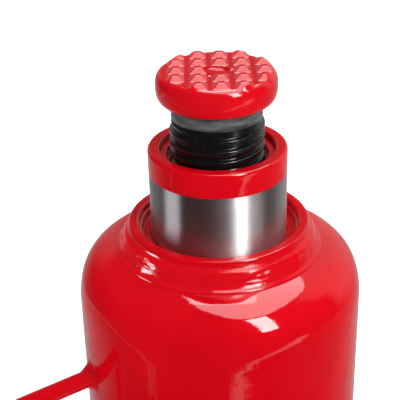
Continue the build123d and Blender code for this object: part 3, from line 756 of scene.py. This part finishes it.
def ground(size):
    n, half = 40, size / 2
    vs = [(-half + size * i / n, -half + size * j / n, 0.0) for i in range(n + 1) for j in range(n + 1)]
    fs = [(i * (n + 1) + j, (i + 1) * (n + 1) + j, (i + 1) * (n + 1) + j + 1, i * (n + 1) + j + 1) for i in range(n) for j in range(n)]
    ob = new_mesh("studio_ground", vs, fs, [floor], smooth=None)
    return ob


fl = ground(6.0)
fl.visible_glossy = False

right = Vector((0.9272, -0.3746, 0)); away = Vector((0.3746, 0.9272, 0)); Z = Vector((0, 0, 1))
P, R_ = math.radians(27.33), math.radians(-1.43)
fwd = away * math.cos(P) - Z * math.sin(P)
up = right.cross(fwd)
ir = math.cos(R_) * right + math.sin(R_) * up
iu = -math.sin(R_) * right + math.cos(R_) * up
cam_d = bpy.data.cameras.new("photo_camera")
cam = bpy.data.objects.new("photo_camera", cam_d)
bpy.context.scene.collection.objects.link(cam)
loc = -0.01205 * right - 0.61305 * away + Vector((0, 0, 0.5914))
m = Matrix((ir, iu, -fwd)).transposed().to_4x4()
m.translation = loc
cam.matrix_world = m
cam_d.lens = 94.2
cam_d.sensor_width = 36
cam_d.clip_start = 0.02
cam_d.clip_end = 30
bpy.context.scene.camera = cam


def area(name, centre, normal, size, power, color=(1, 1, 1), spread=180, glossy=True, diffuse=True, up_hint=Z, shape="RECTANGLE"):
    L = bpy.data.lights.new(name, "AREA")
    L.shape = shape; L.size, L.size_y = size
    L.energy = power; L.color = color; L.spread = math.radians(spread)
    ob = bpy.data.objects.new(name, L)
    bpy.context.scene.collection.objects.link(ob)
    n = Vector(normal).normalized()
    x = up_hint.cross(n)
    if x.length < 1e-3:
        x = right.copy()
    x.normalize(); y = n.cross(x)
    mm = Matrix((x, y, n)).transposed().to_4x4(); mm.translation = Vector(centre)
    ob.matrix_world = mm
    ob.visible_glossy = glossy; ob.visible_diffuse = diffuse
    return ob


def direction(az, el):
    """az from toward the camera, + to camera right; el above the horizon"""
    a, e = math.radians(az), math.radians(el)
    return (-away * math.cos(a) + right * math.sin(a)) * math.cos(e) + Z * math.sin(e)


mid = Vector((0, 0, 0.2))
# overhead softbox, seen only in the gloss, and the soft light it throws as a light of its own
h_ = 1.2
c = Vector((0, 0, 0.24)) + right * (0.235 * h_ + 0.01) + away * (0.31 * h_ - 0.07) + Z * h_
area("overhead_fill", c + Z * 0.03, Vector((0, 0, 1)), (1.50 * h_, 0.76 * h_), 12.5, glossy=False)
ob = area("overhead_softbox", c, Vector((0, 0, 1)), (0.84 * h_, 1.58 * h_), 19.5, up_hint=away, diffuse=False, shape="ELLIPSE")
tilt = math.radians(4)
x, y = right * math.cos(tilt) + away * math.sin(tilt), away * math.cos(tilt) - right * math.sin(tilt)
mm = Matrix((x, y, Z)).transposed().to_4x4(); mm.translation = c
ob.matrix_world = mm
# its far left corner is square: a second panel just behind the first, equally bright
corner = area("overhead_softbox_corner", c, Vector((0, 0, 1)), (0.42 * h_, 0.79 * h_), 6.2, up_hint=away, diffuse=False)
mm = mm.copy(); mm.translation = c - x * (0.21 * h_) + y * (0.395 * h_) + Z * 0.02
corner.matrix_world = mm
d = direction(37, 37)
area("window_right", mid + d * 1.6, d, (0.40, 1.10), 22, diffuse=False)
area("fill_right", mid + d * 1.65, d, (0.40, 1.10), 21, glossy=False)
d = direction(-84, 0)
wl_ = area("window_left", Vector((0, 0, 0.25)) + d * 1.5, d, (0.40, 0.44), 8.0, color=(0.94, 0.97, 1.0))
only_neck = bpy.data.collections.new("lit_by_left_window")
bpy.context.scene.collection.children.link(only_neck)
only_neck.objects.link(neck_ring)
wl_.light_linking.receiver_collection = only_neck
# low cards that only the bright ram picks up
only_ram = bpy.data.collections.new("lit_by_cards")
bpy.context.scene.collection.children.link(only_ram)
only_ram.objects.link(ram)
for nm, az_, wdt, pw, tint in (("card_right", 35.5, 0.085, 0.096, (1, 0.985, 0.97)), ("card_right_dim", 56.0, 0.20, 0.060, (1, 0.95, 0.93)),
                          ("card_left", -77.0, 0.175, 0.175, (0.95, 0.96, 1.0)),):
    q = direction(az_, 0)
    card = area(nm, q * 0.36 + Z * 0.18, q, (wdt, 0.34), pw, color=tint)
    card.light_linking.receiver_collection = only_ram
    card.visible_camera = False

# world: what the gloss sees in each direction, and plain white for everything else
world = bpy.data.worlds.new("studio")
bpy.context.scene.world = world
world.use_nodes = True
wt = world.node_tree
wt.nodes.clear()
W = wt.nodes


def wn(kind, **kw):
    q = W.new(kind)
    for k, v in kw.items():
        setattr(q, k, v)
    return q


def wl(a, b):
    wt.links.new(a, b)


def wmath(op, a, b=None, c=None, clamp=False):
    q = wn("ShaderNodeMath", operation=op, use_clamp=clamp)
    for i, v in enumerate((a, b, c)):
        if v is None:
            continue
        if isinstance(v, (int, float)):
            q.inputs[i].default_value = v
        else:
            wl(v, q.inputs[i])
    return q.outputs[0]


co = wn("ShaderNodeTexCoord").outputs["Generated"]
rot = wn("ShaderNodeVectorRotate", rotation_type="Z_AXIS")
rot.inputs["Angle"].default_value = math.radians(22)          # +Y becomes the direction away from the camera
wl(co, rot.inputs["Vector"])
sep = wn("ShaderNodeSeparateXYZ"); wl(rot.outputs[0], sep.inputs[0])
sx, sy, sz = sep.outputs
azn = wmath("ARCTAN2", sx, wmath("MULTIPLY", sy, -1.0))        # 0 toward the camera, + to its right, radians
azd = wmath("DIVIDE", azn, math.pi)                           # -1..1
fac = wmath("MULTIPLY_ADD", azd, 0.5, 0.5, clamp=True)
elv = wmath("ARCSINE", sz)


def wramp(stops, src):
    r = wn("ShaderNodeValToRGB")
    e = r.color_ramp.elements
    while len(e) > 1:
        e.remove(e[-1])
    for i, (p, c) in enumerate(stops):
        q = e[0] if i == 0 else e.new(p)
        q.position = p
        q.color = (*c, 1) if hasattr(c, "__len__") else (c, c, c, 1)
    wl(src, r.inputs["Fac"])
    return r.outputs["Color"]


def A_(deg):
    return (deg + 180) / 360


# height of the bench edge seen in each direction, stored as (elevation + 60) / 60
edge_pts = [(-180, -12), (-150, -20), (-132, -21.5), (-107, -17), (-92, -21), (-77, -30), (-65, -35.8), (-57, -37.5), (-52, -50), (3, -50), (6, -38.2), (13.3, -37.1), (22, -34.5),
            (33.4, -29.4), (41.7, -25.5), (50.2, -22), (66, -18.3), (82, -17), (110, -15), (180, -12)]
edge = wramp([(A_(a_), (e_ + 60) / 60) for a_, e_ in edge_pts], fac)
eld = wmath("MULTIPLY", elv, 180 / math.pi)
gap = wmath("SUBTRACT", eld, wmath("MULTIPLY_ADD", edge, 60.0, -60.0))         # degrees above the bench edge
below = wmath("SUBTRACT", 1.0, wmath("MULTIPLY_ADD", gap, 0.7, 0.5, clamp=True), clamp=True)
# the bright, ragged edge of the bench cloth
rag = wn("ShaderNodeTexNoise"); rag.inputs["Scale"].default_value = 30.0; rag.inputs["Detail"].default_value = 5.0; rag.inputs["Roughness"].default_value = 0.62
wl(rot.outputs[0], rag.inputs["Vector"])
rg = rag.outputs["Fac"]
wide = wramp([(A_(-130), 0.10), (A_(-56), 0.10), (A_(-40), 0.04), (A_(2), 0.08), (A_(14), 0.20), (A_(30), 0.34), (A_(48), 0.42), (A_(62), 0.55), (A_(68), 0.30), (A_(72), 0.0), (A_(120), 0.0)], fac)
strong = wramp([(A_(-180), 0.0), (A_(-140), 0.0), (A_(-125), 0.30), (A_(-58), 0.30), (A_(-48), 0.0), (A_(3), 0.0), (A_(10), 0.75), (A_(40), 0.8), (A_(66), 0.9), (A_(72), 0.0), (A_(180), 0.0)], fac)
off = wmath("ABSOLUTE", wmath("ADD", gap, wmath("MULTIPLY_ADD", rg, 7.0, -3.5)))
line = wmath("MULTIPLY", wmath("MULTIPLY_ADD", wmath("SUBTRACT", wmath("MULTIPLY", wide, 5.2), off), 1.3, 0.5, clamp=True), strong)
bench = wramp([(A_(-180), (0.55, 0.52, 0.52)), (A_(-150), (0.55, 0.52, 0.52)), (A_(-131), (0.38, 0.35, 0.36)), (A_(-114), (0.24, 0.22, 0.23)), (A_(-98), (0.09, 0.08, 0.085)),
               (A_(-84), (0.035, 0.03, 0.03)), (A_(-55), (0.014, 0.013, 0.013)), (A_(40), (0.014, 0.013, 0.013)), (A_(62), (0.045, 0.04, 0.04)), (A_(82), (0.075, 0.07, 0.07)),
               (A_(98), (0.13, 0.12, 0.12)), (A_(112), (0.20, 0.18, 0.18)), (A_(128), (0.32, 0.29, 0.29)), (A_(152), (0.55, 0.52, 0.52)), (A_(180), (0.55, 0.52, 0.52))], fac)
room_lo = wramp([(A_(-180), 0.45), (A_(-150), 0.42), (A_(-142), 0.30), (A_(-132), 0.12), (A_(-118), 0.05), (A_(-60), 0.014), (A_(60), 0.014), (A_(97), 0.014),
                 (A_(106), 0.10), (A_(116), 0.26), (A_(126), 0.38), (A_(150), 0.44), (A_(180), 0.45)], fac)
room_hi = wramp([(A_(-180), 0.16), (A_(-171), 0.16), (A_(-163), 0.44), (A_(-154), 0.30), (A_(-146), 0.17), (A_(-136), 0.05), (A_(-120), 0.014), (A_(60), 0.014), (A_(97), 0.014),
                 (A_(103), 0.40), (A_(107), 0.60), (A_(150), 0.62), (A_(162), 0.55), (A_(171), 0.16), (A_(180), 0.16)], fac)
m0 = wn("ShaderNodeMix", data_type="RGBA")
wl(wmath("MULTIPLY_ADD", eld, 0.06, 0.7, clamp=True), m0.inputs[0]); wl(room_lo, m0.inputs[6]); wl(room_hi, m0.inputs[7])
room = m0.outputs[2]
sky = wramp([(A_(-180), 0.05), (A_(-60), 0.03), (A_(84), 0.03), (A_(92), 0.12), (A_(102), 0.50), (A_(120), 0.62), (A_(160), 0.60), (A_(170), 0.10), (A_(180), 0.05)], fac)
up_f = wmath("MULTIPLY_ADD", eld, 0.125, -3.0, clamp=True)                     # from 24 to 32 degrees up
m1 = wn("ShaderNodeMix", data_type="RGBA")
wl(up_f, m1.inputs[0]); wl(room, m1.inputs[6]); wl(sky, m1.inputs[7])
m1b = wn("ShaderNodeMix", data_type="RGBA")
wl(wmath("MULTIPLY_ADD", eld, 0.125, -6.3, clamp=True), m1b.inputs[0]); wl(m1.outputs[2], m1b.inputs[6]); m1b.inputs[7].default_value = (0.03, 0.03, 0.03, 1)
m2 = wn("ShaderNodeMix", data_type="RGBA")
wl(below, m2.inputs[0]); wl(m1b.outputs[2], m2.inputs[6]); wl(bench, m2.inputs[7])
mx = wn("ShaderNodeMix", data_type="RGBA")
wl(line, mx.inputs[0]); wl(m2.outputs[2], mx.inputs[6]); mx.inputs[7].default_value = (1.6, 1.55, 1.55, 1)
bg_g = wn("ShaderNodeBackground"); wl(mx.outputs[2], bg_g.inputs["Color"])
bg_g.inputs["Strength"].default_value = 0.88
bg_d = wn("ShaderNodeBackground")
bg_d.inputs["Color"].default_value = (1, 1, 1, 1)
bg_d.inputs["Strength"].default_value = 1.24
bg_c = wn("ShaderNodeBackground")
bg_c.inputs["Color"].default_value = (1, 1, 1, 1)
bg_c.inputs["Strength"].default_value = 1.05
lp = wn("ShaderNodeLightPath")
mxs = wn("ShaderNodeMixShader")
wl(lp.outputs["Is Glossy Ray"], mxs.inputs[0]); wl(bg_d.outputs[0], mxs.inputs[1]); wl(bg_g.outputs[0], mxs.inputs[2])
mxc = wn("ShaderNodeMixShader")
wl(lp.outputs["Is Camera Ray"], mxc.inputs[0]); wl(mxs.outputs[0], mxc.inputs[1]); wl(bg_c.outputs[0], mxc.inputs[2])
wo = wn("ShaderNodeOutputWorld"); wl(mxc.outputs[0], wo.inputs["Surface"])

bpy.context.scene.view_settings.view_transform = "Standard"
bpy.context.scene.view_settings.look = "None"
